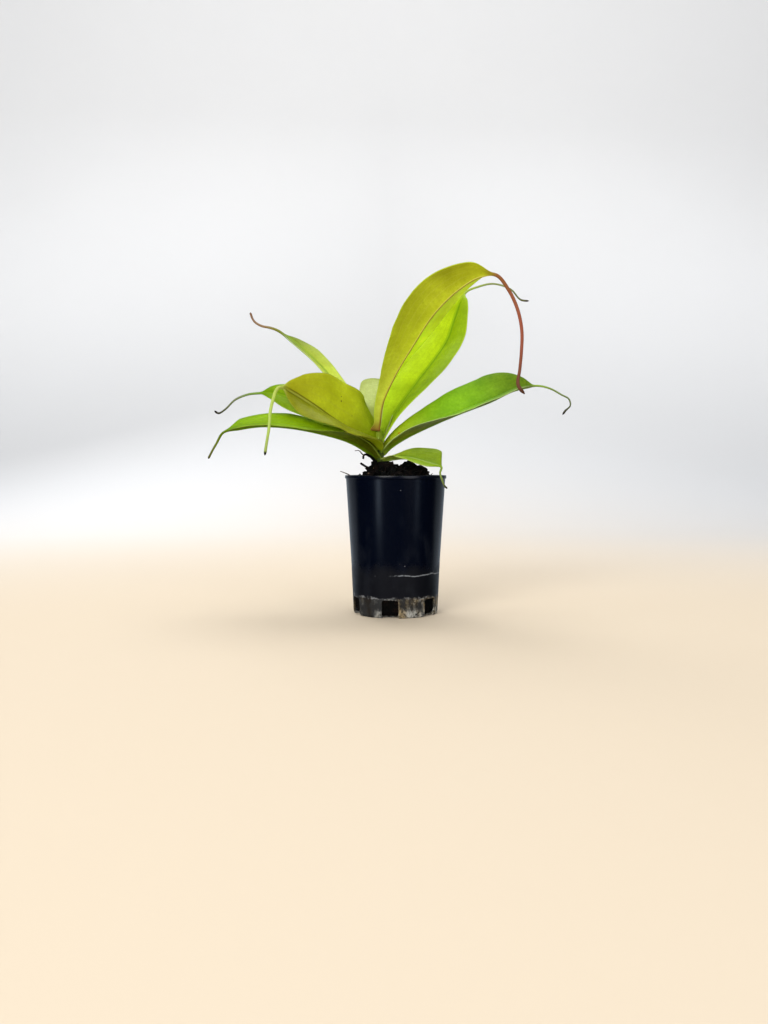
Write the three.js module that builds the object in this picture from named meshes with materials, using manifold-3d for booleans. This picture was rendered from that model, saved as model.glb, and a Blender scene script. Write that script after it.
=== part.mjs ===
// Potted pitcher plant: a young plant of nine leaves in a tall nursery pot of bark and peat.
// Millimetres, +Z up. The origin is the middle of the pot's base, +X is right and +Y is away.

import * as THREE from 'three';
import { mergeVertices } from 'three/addons/utils/BufferGeometryUtils.js';
import Module from 'manifold-3d';

const wasm = await Module();
wasm.setup();

// ---------- driving dimensions ----------

const gap = 0.3; // clearance between pieces that touch
const tolerance = 1e-4; // points closer than this are one

const pot = {
  height: 102,
  rimRadius: 37.5,
  wallTopRadius: 36.9,
  kneeRadius: 33, // where the taper changes
  kneeHeight: 40,
  baseRadius: 31.2,
  cornerRadius: 1.6,
  wall: 1.2,
  lipHeight: 2.5,
  lipBevel: 0.4,
  segments: 48,
};

// Notches round the pot's foot.
const drain = { count: 6, width: 12, height: 13, depth: 8, firstAngle: -98 };

const medium = {
  edgeHeight: 97.5, // where it meets the pot's wall
  footHeight: 5, // of the bevel round its foot
  moundRise: 9.5,
  moundRadius: 31,
  moundRings: [1, 0.88, 0.74, 0.58, 0.42, 0.25], // shares of the mound's width
  roughness: 0.7,
  segments: 36,
  lumps: 54,
  lumpSize: [2.4, 5.2],
  lumpShape: [1.25, 0.95], // length and width for a size of 1
  lumpSunk: 0.25, // share of its size
  seed: 41,
};

// The large lumps that make up the two humps: [x, y, z], size, turns about X, Y and Z, and height.
const humps = [
  [[-12, -5, 104.5], 7.5, [0.3, 0.5, 0.2], 0.8],
  [[-6, -7, 106.5], 6.5, [1.1, 0.2, 0.9], 0.8],
  [[-12, 8, 105], 8, [0.6, 1.3, 0.4], 0.8],
  [[8, -6, 106.5], 6.2, [0.4, 0.9, 1.6], 0.9],
  [[17, -8, 104], 6.4, [1.4, 0.3, 0.5], 0.8],
  [[13, 8, 104.5], 7, [0.2, 0.8, 0.9], 0.8],
];

// Sticks, roots and fibres that stand out of the medium.
const looseBits = {
  darkStick: { radius: 0.8, points: [[-10, -6, 102], [-17, -6, 105.5], [-26, -6, 111]] },
  oldStub: {
    radius: 0.9,
    points: [[-12, -4, 106], [-15, -4, 112], [-19, -4, 116], [-23, -4, 117], [-24, -4, 114]],
  },
  curlyRoot: { radius: 0.5, points: [[-23, -4, 116], [-25, -5, 118], [-27, -5, 120], [-30, -5, 120]] },
  twigOverRim: { radius: 0.5, points: [[-28, -2, 98], [-35, -2, 102.6], [-41, -2, 105]] },
  fibre: { radius: 0.4, points: [[20, -4, 99], [25, -5, 104.5]] },
  frontFibre: { radius: 0.4, points: [[22, -8, 99], [27, -9, 103.5]] },
};

const stem = {
  x: -11,
  y: 0,
  foot: 92,
  top: 137,
  footRadius: 3.6,
  topRadius: 2.6,
  tipRise: 1.2,
  lean: -2, // sideways at its top
  segments: 14,
};

// Points of each leaf run from the stem out, first along the midrib of its blade, then along its tendril.
// azimuth is the way the leaf heads, seen from above, in degrees from +X towards +Y.
// fold is how far each half of the blade rises from flat and roll how far the blade turns about its
// midrib, lifting its left-hand half, both in degrees at the foot, the middle and the tip of the blade.
// widest is a share of the blade's length, a larger slender narrows the blade's foot, and a smaller blunt
// rounds its tip. tendrilRadius is at the tendril's start, before its tip, and at its tip.
const leaves = {
  leaf_arching: {
    midrib: [[-13, -3, 134], [-12, -8, 144], [-10, -12, 155], [-1, -20, 174], [11, -31, 193],
      [25, -42, 213], [41, -51, 228], [56, -58, 236], [66, -61, 236]],
    tendril: [[74, -63, 226], [80, -64, 213], [83, -64, 199], [83, -63, 185], [82, -62, 172],
      [81, -61, 164], [83, -61, 160], [86, -61, 157]],
    azimuth: -40, halfWidth: 24.5, widest: 0.66, slender: 1.8, blunt: 0.78,
    fold: [40, 18, 30], roll: [0, 0, -15], footWidth: 5, tendrilRadius: [1.3, 1.1, 1.5],
  },
  leaf_upright: {
    midrib: [[-12, 1, 124], [-8, 3, 132], [0, 9, 148], [15, 20, 170], [30, 31, 190], [41, 40, 207],
      [48, 48, 226], [55, 54, 242]],
    tendril: [[66, 57, 251], [79, 60, 254], [93, 62, 250], [101, 63, 242], [108, 63, 241]],
    azimuth: 40, halfWidth: 21, widest: 0.46, slender: 1.35, blunt: 0.5,
    fold: [35, 15, 12], roll: [15, 15, 17], footWidth: 5, tendrilRadius: [0.9, 0.6, 0.8],
  },
  leaf_right: {
    midrib: [[-10, 0, 117], [-4, 1, 123], [7, 3, 130], [26, 5, 139], [50, 8, 149], [71, 10, 157],
      [90, 12, 166], [106, 13, 169]],
    tendril: [[116, 13, 167], [125, 12, 162], [130, 11, 159], [131, 10, 154], [127, 9, 150],
      [125, 9, 147]],
    azimuth: 6, halfWidth: 22.5, widest: 0.74, slender: 0.7, blunt: 1,
    fold: [50, 31, 34], roll: [14, 29, 34], footWidth: 5, tendrilRadius: [0.8, 0.5, 0.8],
  },
  leaf_small: {
    midrib: [[-10, -1, 112], [-5, -4, 114], [1, -8, 115], [7, -14, 115], [13, -18, 114],
      [20, -23, 112], [27, -27, 110], [32, -30, 108]],
    tendril: [[31, -32, 104], [32, -33, 100], [34, -34, 95], [36, -34, 93]],
    azimuth: -38, halfWidth: 13, widest: 0.8, slender: 1.3, blunt: 0.35,
    fold: [45, 25, 25], roll: [5, 26, 28], footWidth: 3.5, tendrilRadius: [0.8, 0.6, 0.7],
  },
  leaf_broad: {
    midrib: [[-12, -1, 120], [-18, -6, 126], [-29, -14, 132], [-44, -23, 141], [-57, -31, 150],
      [-71, -38, 159], [-79, -44, 163]],
    tendril: [[-82, -49, 161], [-84, -51, 155], [-86, -52, 146], [-87, -52, 135], [-89, -52, 123],
      [-90, -52, 116]],
    azimuth: -150, halfWidth: 32, widest: 0.57, slender: 0.6, blunt: 0.85,
    fold: [36, 28, 20], roll: [-32, -46, -72], footWidth: 4, tendrilRadius: [1.2, 0.9, 1],
  },
  leaf_slim: {
    midrib: [[-12, 0, 116], [-20, 2, 126], [-34, 4, 136], [-56, 6, 149], [-75, 8, 158],
      [-90, 9, 163], [-104, 9, 163]],
    tendril: [[-111, 9, 162], [-120, 8, 158], [-127, 7, 151], [-132, 6, 148], [-135, 6, 150]],
    azimuth: 174, halfWidth: 16, widest: 0.68, slender: 1.3, blunt: 0.9,
    fold: [50, 8, 8], roll: [0, -40, -40], footWidth: 5, tendrilRadius: [0.9, 0.6, 0.8],
  },
  leaf_low: {
    midrib: [[-12, 0, 111], [-20, -3, 119], [-34, -6, 127], [-55, -9, 133], [-77, -12, 137],
      [-97, -15, 138], [-112, -17, 136], [-124, -18, 133]],
    tendril: [[-129, -19, 125], [-133, -19, 118], [-135, -19, 114]],
    azimuth: -172, halfWidth: 21.5, widest: 0.74, slender: 0.75, blunt: 0.28,
    fold: [50, 15, 12], roll: [0, -17, -12], footWidth: 5, tendrilRadius: [0.9, 0.7, 0.8],
  },
  leaf_rising: {
    midrib: [[-12, 0, 125], [-17, 6, 136], [-30, 20, 154], [-46, 34, 172], [-62, 46, 190],
      [-77, 56, 204], [-93, 64, 217]],
    tendril: [[-100, 66, 220], [-108, 68, 222], [-114, 69, 226], [-117, 69, 233]],
    azimuth: 142, halfWidth: 11, widest: 0.74, slender: 2, blunt: 0.75,
    fold: [50, 38, 36], roll: [0, -6, -6], footWidth: 5, tendrilRadius: [1.1, 0.8, 0.9],
  },
  leaf_back: {
    midrib: [[-12, 1, 123], [-11, 8, 133], [-10, 24, 153], [-9, 45, 170], [-9, 64, 178],
      [-12, 84, 177], [-17, 100, 168]],
    tendril: [[-22, 106, 158], [-25, 108, 147], [-25, 107, 136]],
    azimuth: 92, halfWidth: 19, widest: 0.5, slender: 0.8, blunt: 0.8,
    fold: [50, 20, 10], roll: [0, -20, -10], footWidth: 5, tendrilRadius: [1, 0.8, 0.9],
  },
};

const blade = {
  edgeThickness: 0.7,
  ribThickness: 2,
  footThickness: 1.6,
  ribShare: 0.25, // of half the blade's width, over which the rib thins out
  bulge: 0.35, // how far each half arches between the midrib and the margin
  rounding: [0.9, 1], // from a flat blade to a round tendril, in shares of the blade's length
  tipSwell: [0.8, 0.95], // from a thin tendril to its thicker tip, in shares of the tendril's length
  stations: 20,
  tendrilStations: 12,
  lengthSteps: 20, // between two of a leaf's points, to measure along it
  across: [-1, -0.6, -0.12, 0, 0.12, 0.6, 1], // from one margin over the midrib to the other
};

// ---------- solids ----------

// One set of points with every triangle joined to its neighbours.
function welded(geometry) {
  const bare = geometry.clone();
  bare.deleteAttribute('normal');
  bare.deleteAttribute('uv');
  return mergeVertices(bare, tolerance);
}

function solidOf(geometry) {
  const merged = welded(geometry);
  const corners = [];
  for (let i = 0; i < merged.index.count; i += 3) {
    const triangle = [0, 1, 2].map((k) => merged.index.getX(i + k));
    if (new Set(triangle).size === 3) corners.push(...triangle);
  }
  return new wasm.Manifold(new wasm.Mesh({
    numProp: 3,
    vertProperties: new Float32Array(merged.attributes.position.array),
    triVerts: new Uint32Array(corners),
  }));
}

function geometryOf(solid) {
  const mesh = solid.getMesh();
  const geometry = new THREE.BufferGeometry();
  geometry.setAttribute('position', new THREE.BufferAttribute(new Float32Array(mesh.vertProperties), 3));
  geometry.setIndex(new THREE.BufferAttribute(new Uint32Array(mesh.triVerts), 1));
  geometry.computeVertexNormals();
  return geometry;
}

function largestBody(solid) {
  const bodies = solid.decompose();
  return bodies.reduce((best, body) => (body.volume() > best.volume() ? body : best));
}

// A profile of [radius, height] pairs turned about the Z axis.
function turned(profile, segments) {
  const points = profile.map(([radius, height]) => new THREE.Vector2(radius, height));
  return new THREE.LatheGeometry(points, segments).rotateX(Math.PI / 2);
}

// A thin round stick or root along points.
function twig(points, radius) {
  const sides = 5;
  const path = new THREE.CatmullRomCurve3(points.map((point) => new THREE.Vector3(...point)));
  const corners = [];
  for (let i = 0; i < sides; i += 1) {
    const angle = (i / sides) * Math.PI * 2;
    corners.push(new THREE.Vector2(radius * Math.cos(angle), radius * Math.sin(angle)));
  }
  const section = new THREE.Shape(corners);
  const steps = points.length * 2;
  return solidOf(new THREE.ExtrudeGeometry(section, { extrudePath: path, steps, bevelEnabled: false }));
}

function seededRandom(seed) {
  let state = seed;
  return () => {
    state = (state * 1664525 + 1013904223) % 4294967296;
    return state / 4294967296;
  };
}

// ---------- pot ----------

function wallRadius(height) {
  if (height < pot.kneeHeight) {
    return THREE.MathUtils.mapLinear(height, 0, pot.kneeHeight, pot.baseRadius, pot.kneeRadius);
  }
  return THREE.MathUtils.mapLinear(height, pot.kneeHeight, pot.height, pot.kneeRadius, pot.wallTopRadius);
}

function potSolid() {
  const corner = pot.cornerRadius;
  const cornerMiddle = 1 - Math.SQRT1_2; // how far a round corner stays in from a sharp one
  const lipFoot = pot.height - pot.lipHeight;
  const outside = [
    [0, 0],
    [pot.baseRadius - corner, 0],
    [pot.baseRadius - corner * cornerMiddle, corner * cornerMiddle],
    [wallRadius(corner), corner],
    [pot.kneeRadius, pot.kneeHeight],
    [wallRadius(lipFoot), lipFoot],
    [pot.rimRadius, lipFoot + pot.lipBevel],
    [pot.rimRadius, pot.height - pot.lipBevel],
    [pot.rimRadius - pot.lipBevel, pot.height],
  ];
  const inside = [
    [wallRadius(pot.height) - pot.wall, pot.height],
    [pot.kneeRadius - pot.wall, pot.kneeHeight],
    [wallRadius(corner + pot.wall) - pot.wall, corner + pot.wall],
    [pot.baseRadius - corner - pot.wall, pot.wall],
    [0, pot.wall],
  ];
  let shell = solidOf(turned([...outside, ...inside], pot.segments));
  for (let i = 0; i < drain.count; i += 1) {
    const notch = new THREE.BoxGeometry(drain.depth * 2, drain.width, drain.height * 2);
    notch.translate(pot.baseRadius, 0, 0);
    notch.rotateZ(THREE.MathUtils.degToRad(drain.firstAngle + (360 / drain.count) * i));
    shell = shell.subtract(solidOf(notch));
  }
  return shell;
}

// ---------- medium ----------

function moundHeight(radius) {
  const share = Math.min(radius / medium.moundRadius, 1);
  return medium.edgeHeight + medium.moundRise * (1 - share * share);
}

function moundSolid(random) {
  const inner = (height) => wallRadius(height) - pot.wall - gap;
  const floor = pot.wall + gap;
  const edge = inner(medium.edgeHeight);
  const profile = [
    [0, floor],
    [pot.baseRadius - 2 * pot.cornerRadius - gap, floor],
    [inner(medium.footHeight), medium.footHeight],
    [inner(pot.kneeHeight), pot.kneeHeight],
    ...medium.moundRings.map((share) => [edge * share, moundHeight(edge * share)]),
    [0, moundHeight(0)],
  ];
  const geometry = welded(turned(profile, medium.segments));
  const places = geometry.attributes.position;
  for (let i = 0; i < places.count; i += 1) {
    const jitter = (random() * 2 - 1) * medium.roughness;
    if (places.getZ(i) > moundHeight(edge) + tolerance) places.setZ(i, places.getZ(i) + jitter);
  }
  return solidOf(geometry);
}

// One angular lump of bark.
function lump(place, size, turn, flatness) {
  const geometry = new THREE.IcosahedronGeometry(size, 0);
  geometry.scale(...medium.lumpShape, flatness);
  geometry.rotateX(turn[0]).rotateY(turn[1]).rotateZ(turn[2]);
  geometry.translate(...place);
  return solidOf(geometry);
}

// Lumps strewn over the mound.
function barkLumps(random) {
  const { lerp } = THREE.MathUtils;
  const lumps = [];
  for (let i = 0; i < medium.lumps; i += 1) {
    const angle = random() * Math.PI * 2;
    const radius = Math.sqrt(random()) * (medium.moundRadius - 1);
    const size = lerp(...medium.lumpSize, random());
    const turn = [random() * Math.PI, random() * Math.PI, random() * Math.PI];
    const height = moundHeight(radius) - medium.lumpSunk * size;
    const flatness = lerp(0.6, 0.9, random());
    lumps.push(lump([radius * Math.cos(angle), radius * Math.sin(angle), height], size, turn, flatness));
  }
  return lumps;
}

function mediumSolid() {
  const random = seededRandom(medium.seed);
  const large = humps.map((hump) => lump(...hump));
  const bits = Object.values(looseBits).map(({ points, radius }) => twig(points, radius));
  const body = wasm.Manifold.union([moundSolid(random), ...large, ...barkLumps(random), ...bits]);
  return largestBody(body.subtract(stemSolid(gap)));
}

// ---------- stem ----------

// The stem, or the room it needs when it is grown by a clearance.
function stemSolid(grow = 0) {
  const height = stem.top - stem.foot;
  const profile = [
    [0, -grow],
    [stem.footRadius + grow, -grow],
    [stem.footRadius * 0.92 + grow, height * 0.55],
    [stem.topRadius + grow, height * 0.9],
    [stem.topRadius * 0.5 + grow, height + grow],
    [0, height + stem.tipRise + grow],
  ];
  const geometry = turned(profile, stem.segments);
  const places = geometry.attributes.position;
  for (let i = 0; i < places.count; i += 1) {
    places.setX(i, places.getX(i) + stem.lean * (places.getZ(i) / height) ** 2);
  }
  geometry.translate(stem.x, stem.y, stem.foot);
  return solidOf(geometry);
}

// ---------- leaves ----------

// A smooth change from foot over middle to tip.
function threeWay([foot, middle, tip], share) {
  const { smoothstep, lerp } = THREE.MathUtils;
  if (share < 0.5) return lerp(foot, middle, smoothstep(share, 0, 0.5));
  return lerp(middle, tip, smoothstep(share, 0.5, 1));
}

// Half the blade's width at a share of its length, 0 at the foot and 1 at the tip.
function halfWidthAt(leaf, share) {
  const toTip = Math.max(share - leaf.widest, 0) / (1 - leaf.widest);
  const swell = share < leaf.widest
    ? Math.sin((Math.PI / 2) * (share / leaf.widest)) ** leaf.slender
    : Math.max(Math.cos((Math.PI / 2) * toTip), 0) ** leaf.blunt;
  const stalk = THREE.MathUtils.lerp(leaf.footWidth, leaf.tendrilRadius[0], share);
  return Math.hypot(stalk * (1 - swell), leaf.halfWidth * swell);
}

// The tendril thins from the blade on and swells a little at its dried tip.
function tendrilRadiusAt(leaf, share) {
  const { lerp, smoothstep } = THREE.MathUtils;
  const [start, end, tip] = leaf.tendrilRadius;
  return lerp(start, end, share) + (tip - end) * smoothstep(share, ...blade.tipSwell);
}

// Places and directions along the midrib and the tendril.
function stationsOf(leaf) {
  const points = [...leaf.midrib, ...leaf.tendril].map((point) => new THREE.Vector3(...point));
  const curve = new THREE.CatmullRomCurve3(points, false, 'centripetal');
  const lengths = curve.getLengths((points.length - 1) * blade.lengthSteps);
  const bladeEnd = lengths[(leaf.midrib.length - 1) * blade.lengthSteps] / lengths.at(-1);
  const heading = THREE.MathUtils.degToRad(leaf.azimuth);
  const level = new THREE.Vector3(-Math.sin(heading), Math.cos(heading), 0);
  const stations = [];
  let normal = null;
  for (let i = 0; i <= blade.stations + blade.tendrilStations; i += 1) {
    const share = i / blade.stations;
    const along = share <= 1
      ? share * bladeEnd
      : bladeEnd + ((i - blade.stations) / blade.tendrilStations) * (1 - bladeEnd);
    const tangent = curve.getTangentAt(along);
    if (share <= 1) {
      const side = level.clone().addScaledVector(tangent, -level.dot(tangent)).normalize();
      normal = tangent.clone().cross(side).normalize();
      normal.applyAxisAngle(tangent, THREE.MathUtils.degToRad(threeWay(leaf.roll, share)));
    } else {
      normal = normal.clone().addScaledVector(tangent, -normal.dot(tangent)).normalize();
    }
    const side = normal.clone().cross(tangent).normalize();
    stations.push({ place: curve.getPointAt(along), tangent, normal, side, share });
  }
  return stations;
}

// The closed outline of the leaf across its midrib: upper face first, then the lower face back.
function sectionOf(leaf, station, grow) {
  const { lerp, smoothstep, degToRad } = THREE.MathUtils;
  const share = Math.min(station.share, 1);
  const fold = degToRad(threeWay(leaf.fold, share));
  const tendrilShare = Math.max(station.share - 1, 0) * (blade.stations / blade.tendrilStations);
  const radius = tendrilRadiusAt(leaf, tendrilShare) + grow;
  const half = halfWidthAt(leaf, share) + grow;
  const roundness = smoothstep(station.share, ...blade.rounding);
  const edge = blade.edgeThickness + 2 * grow;
  const rib = lerp(blade.footThickness, blade.ribThickness, share) + 2 * grow;
  const faces = [1, -1].map((face) => blade.across.map((across) => {
    const spread = Math.abs(across);
    const thickness = lerp(rib, edge, Math.min(spread / blade.ribShare, 1)) / Math.cos(fold);
    const bulge = blade.bulge * half * spread * (1 - spread);
    const lift = half * spread * Math.sin(fold) + bulge - (face < 0 ? thickness : 0) + grow;
    const flat = [half * across * Math.cos(fold), lift];
    const angle = (Math.PI / 2) * across;
    const round = [radius * Math.sin(angle), face * radius * Math.cos(angle)];
    return flat.map((value, axis) => lerp(value, round[axis], roundness));
  }));
  const outline = [...faces[0], ...faces[1].reverse()];
  return outline.map(([aside, up]) => station.place.clone()
    .addScaledVector(station.side, aside)
    .addScaledVector(station.normal, up));
}

// Rings of points joined into one closed skin, with a fan over each end.
function loft(rings) {
  const size = rings[0].length;
  const points = rings.flat();
  const triangles = [];
  for (let ring = 0; ring + 1 < rings.length; ring += 1) {
    for (let i = 0; i < size; i += 1) {
      const here = ring * size + i;
      const next = ring * size + ((i + 1) % size);
      const lowerFace = i >= size / 2;
      if (lowerFace) triangles.push(here, here + size, next, next, here + size, next + size);
      else triangles.push(here, next + size, next, here, here + size, next + size);
    }
  }
  const last = (rings.length - 1) * size;
  for (let i = 0; i + 1 < size / 2; i += 1) {
    const across = size - 1 - i;
    triangles.push(i, i + 1, across, i + 1, across - 1, across);
    triangles.push(last + i, last + across, last + i + 1, last + i + 1, last + across, last + across - 1);
  }
  const geometry = new THREE.BufferGeometry();
  const positions = points.flatMap((point) => point.toArray());
  geometry.setAttribute('position', new THREE.Float32BufferAttribute(positions, 3));
  geometry.setIndex(triangles);
  return geometry;
}

// A leaf, or the room it needs when it is grown by a clearance.
function leafSolid(leaf, grow = 0) {
  return solidOf(loft(stationsOf(leaf).map((station) => sectionOf(leaf, station, grow))));
}

// ---------- assembly ----------

const group = new THREE.Group();
const plant = new THREE.Group();
group.add(plant);

function addPiece(parent, name, solid, colour, roughness) {
  const material = new THREE.MeshStandardMaterial({ color: colour, roughness, metalness: 0 });
  const mesh = new THREE.Mesh(geometryOf(solid), material);
  mesh.name = name;
  parent.add(mesh);
}

const leafColours = {
  leaf_arching: 0xabb92b,
  leaf_upright: 0xb2d010,
  leaf_right: 0x6f9f22,
  leaf_small: 0x8aa71f,
  leaf_broad: 0xa6a820,
  leaf_slim: 0x7da60a,
  leaf_low: 0x82a808,
  leaf_rising: 0xbfd065,
  leaf_back: 0xb6c478,
};

addPiece(group, 'pot', potSolid(), 0x060a16, 0.25);
addPiece(group, 'medium', mediumSolid(), 0x17120e, 0.95);
addPiece(plant, 'stem', stemSolid(), 0x3c5a12, 0.5);
let room = stemSolid(gap);
for (const [name, leaf] of Object.entries(leaves)) {
  addPiece(plant, name, largestBody(leafSolid(leaf).subtract(room)), leafColours[name], 0.45);
  room = room.add(leafSolid(leaf, gap));
}

export default group;
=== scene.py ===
import math
import random

import bmesh
import bpy
from mathutils import Matrix, Vector, noise


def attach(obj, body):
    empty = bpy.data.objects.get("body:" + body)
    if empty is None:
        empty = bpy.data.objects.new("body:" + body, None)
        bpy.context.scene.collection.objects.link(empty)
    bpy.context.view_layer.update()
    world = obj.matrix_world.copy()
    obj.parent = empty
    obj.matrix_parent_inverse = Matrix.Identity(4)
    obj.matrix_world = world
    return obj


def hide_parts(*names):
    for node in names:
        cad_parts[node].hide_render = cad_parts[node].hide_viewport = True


# Looks of the potted pitcher plant: leaves, stem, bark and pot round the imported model, in metres.
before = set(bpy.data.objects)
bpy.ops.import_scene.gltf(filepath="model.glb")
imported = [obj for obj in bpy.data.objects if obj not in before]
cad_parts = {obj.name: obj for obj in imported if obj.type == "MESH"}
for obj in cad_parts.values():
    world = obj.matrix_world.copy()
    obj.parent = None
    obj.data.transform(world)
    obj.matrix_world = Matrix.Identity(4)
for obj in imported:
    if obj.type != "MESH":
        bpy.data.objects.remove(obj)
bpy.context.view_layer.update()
mm = 0.001


def deselectAll():
    if bpy.context.object and bpy.context.object.mode != "OBJECT":
        bpy.ops.object.mode_set(mode="OBJECT")
    bpy.ops.object.select_all(action="DESELECT")


def choose(*pieces):
    deselectAll()
    for piece in pieces:
        piece.select_set(True)
    bpy.context.view_layer.objects.active = pieces[0]


# The object that an operator adds.
def added(operator, **settings):
    deselectAll()
    operator(**settings)
    return bpy.context.object


def startEdit(piece):
    choose(piece)
    bpy.ops.object.mode_set(mode="EDIT")
    bpy.ops.mesh.select_all(action="SELECT")


def endEdit():
    bpy.ops.object.mode_set(mode="OBJECT")


# Turn every face outward and leave edit mode.
def endClosed():
    bpy.ops.mesh.select_all(action="SELECT")
    bpy.ops.mesh.normals_make_consistent()
    endEdit()


def selectEdges(piece, test):
    bpy.ops.mesh.select_all(action="DESELECT")
    shape = bmesh.from_edit_mesh(piece.data)
    for edge in filter(test, shape.edges):
        edge.select_set(True)
    bmesh.update_edit_mesh(piece.data)


def applyModifiers(piece):
    choose(piece)
    for modifier in list(piece.modifiers):
        bpy.ops.object.modifier_apply(modifier=modifier.name)


def applyPlace(*pieces):
    choose(*pieces)
    bpy.ops.object.transform_apply()


def smoothShade(piece, angle=180):
    choose(piece)
    bpy.ops.object.shade_smooth_by_angle(angle=math.radians(angle))


def joinPieces(pieces):
    choose(*pieces)
    bpy.ops.object.join()
    return pieces[0]


def finishPiece(piece, name, material, slot, *nodes):
    piece.name = name
    piece.data.name = name
    piece.data.materials.clear()
    piece.data.materials.append(material)
    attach(piece, "root")
    if nodes:
        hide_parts(*nodes)


# A flat disc in edit mode, from which a round piece is drawn up. Millimetres.
def startDisc(corners, radius, place):
    piece = added(bpy.ops.mesh.primitive_circle_add, vertices=corners, radius=radius * mm,
                  fill_type="NGON", location=[value * mm for value in place])
    applyPlace(piece)
    startEdit(piece)
    return piece


def extrude(*offset):
    bpy.ops.mesh.extrude_region_move(TRANSFORM_OT_translate={"value": offset})


# Draw the disc up through rings of radius and height, of which the first is the disc itself.
def raiseRings(rings):
    for (radius, height), (nextRadius, nextHeight) in zip(rings, rings[1:]):
        extrude(0, 0, (nextHeight - height) * mm)
        grow = nextRadius / radius
        bpy.ops.transform.resize(value=(grow, grow, 1), center_override=(0, 0, nextHeight * mm))


def blendValue(low, high, share):
    return low + (high - low) * share


def smoothStep(value, low, high):
    share = min(max((value - low) / (high - low), 0), 1)
    return share * share * (3 - 2 * share)


def srgb(text):
    values = [int(text[i:i + 2], 16) / 255 for i in (1, 3, 5)]
    return (*[v / 12.92 if v <= 0.04045 else ((v + 0.055) / 1.055) ** 2.4 for v in values], 1)


# Each input takes a link from another node or a plain value.
def setInputs(tree, node, inputs):
    for key, value in inputs.items():
        if isinstance(value, bpy.types.NodeSocket):
            tree.links.new(value, node.inputs[key])
        else:
            node.inputs[key].default_value = value


def addNode(tree, kind, inputs=None, **settings):
    node = tree.nodes.new(kind)
    for key, value in settings.items():
        setattr(node, key, value)
    setInputs(tree, node, inputs or {})
    return node


def calculate(tree, operation, first, second=0.0, third=0.0, clamp=False):
    node = addNode(tree, "ShaderNodeMath", {0: first, 1: second, 2: third},
                   operation=operation, use_clamp=clamp)
    return node.outputs[0]


def times(tree, first, second):
    return calculate(tree, "MULTIPLY", first, second)


# First times second plus third.
def timesPlus(tree, first, second, third, clamp=False):
    return calculate(tree, "MULTIPLY_ADD", first, second, third, clamp)


# How far a value is from another, whichever is larger.
def gapTo(tree, value, other):
    return calculate(tree, "ABSOLUTE", calculate(tree, "SUBTRACT", value, other))


def mapped(tree, value, low, high, toLow=0.0, toHigh=1.0, way="SMOOTHSTEP"):
    node = addNode(tree, "ShaderNodeMapRange", {"Value": value, 1: low, 2: high, 3: toLow, 4: toHigh},
                   interpolation_type=way)
    return node.outputs[0]


# A colour is a link or its text, such as "#ffffff".
def mixColour(tree, factor, first, second, way="MIX"):
    first, second = (srgb(value) if isinstance(value, str) else value for value in (first, second))
    node = addNode(tree, "ShaderNodeMix", {0: factor, 6: first, 7: second}, data_type="RGBA", blend_type=way)
    return node.outputs[2]


# Lay a tone over a colour where the mask is 1, as strongly as the amount says.
def layTone(tree, colour, tone, mask, amount):
    return mixColour(tree, times(tree, mask, amount), colour, tone)


def bumped(tree, height, strength, distance):
    inputs = {"Height": height, "Strength": strength, "Distance": distance}
    return addNode(tree, "ShaderNodeBump", inputs).outputs[0]


def setShader(tree, shader, colour, roughness, gloss, normal):
    setInputs(tree, shader, {"Base Color": colour, "Roughness": roughness, "Specular IOR Level": gloss,
                             "Normal": normal})


# A node group, with what it is given and what it returns.
def newGroup(name, inputs, outputs):
    group = bpy.data.node_groups.new(name, "ShaderNodeTree")
    kinds = {"value": "NodeSocketFloat", "colour": "NodeSocketColor", "vector": "NodeSocketVector"}
    for way, sockets in (("INPUT", inputs), ("OUTPUT", outputs)):
        for label, kind in sockets.items():
            group.interface.new_socket(name=label, in_out=way, socket_type=kinds[kind])
    return group, group.nodes.new("NodeGroupInput").outputs, group.nodes.new("NodeGroupOutput").inputs


def useGroup(tree, group, inputs):
    return addNode(tree, "ShaderNodeGroup", inputs, node_tree=group)


def newMaterial(name):
    material = bpy.data.materials.new(name)
    material.use_nodes = True
    tree = material.node_tree
    return material, tree, tree.nodes["Principled BSDF"]


def objectCoordinates(tree):
    return addNode(tree, "ShaderNodeTexCoord").outputs["Object"]


def placeValues(tree):
    return addNode(tree, "ShaderNodeSeparateXYZ", {0: objectCoordinates(tree)}).outputs


# Colour that changes from one end over a middle to the other end.
threeTone, given, result = newGroup(
    "threeTone", {"Share": "value", "First": "colour", "Middle": "colour", "Last": "colour"},
    {"Colour": "colour"})
toMiddle = mapped(threeTone, given["Share"], 0, 0.5)
toLast = mapped(threeTone, given["Share"], 0.5, 1)
firstMix = mixColour(threeTone, toMiddle, given["First"], given["Middle"])
threeTone.links.new(mixColour(threeTone, toLast, firstMix, given["Last"]), result["Colour"])

# Soft cloudy unevenness, 0 to 1.
mottle, given, result = newGroup(
    "mottle", {"Scale": "value", "Contrast": "value", "Stretch": "vector"}, {"Value": "value"})
stretched = addNode(mottle, "ShaderNodeVectorMath",
                    {0: objectCoordinates(mottle), 1: given["Stretch"]}, operation="MULTIPLY")
clouds = addNode(mottle, "ShaderNodeTexNoise", {"Vector": stretched.outputs[0], "Scale": given["Scale"],
                                                "Detail": 4.0, "Roughness": 0.6})
centred = calculate(mottle, "SUBTRACT", clouds.outputs["Fac"], 0.5)
spread = timesPlus(mottle, centred, given["Contrast"], 0.5, clamp=True)
mottle.links.new(spread, result["Value"])

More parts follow.
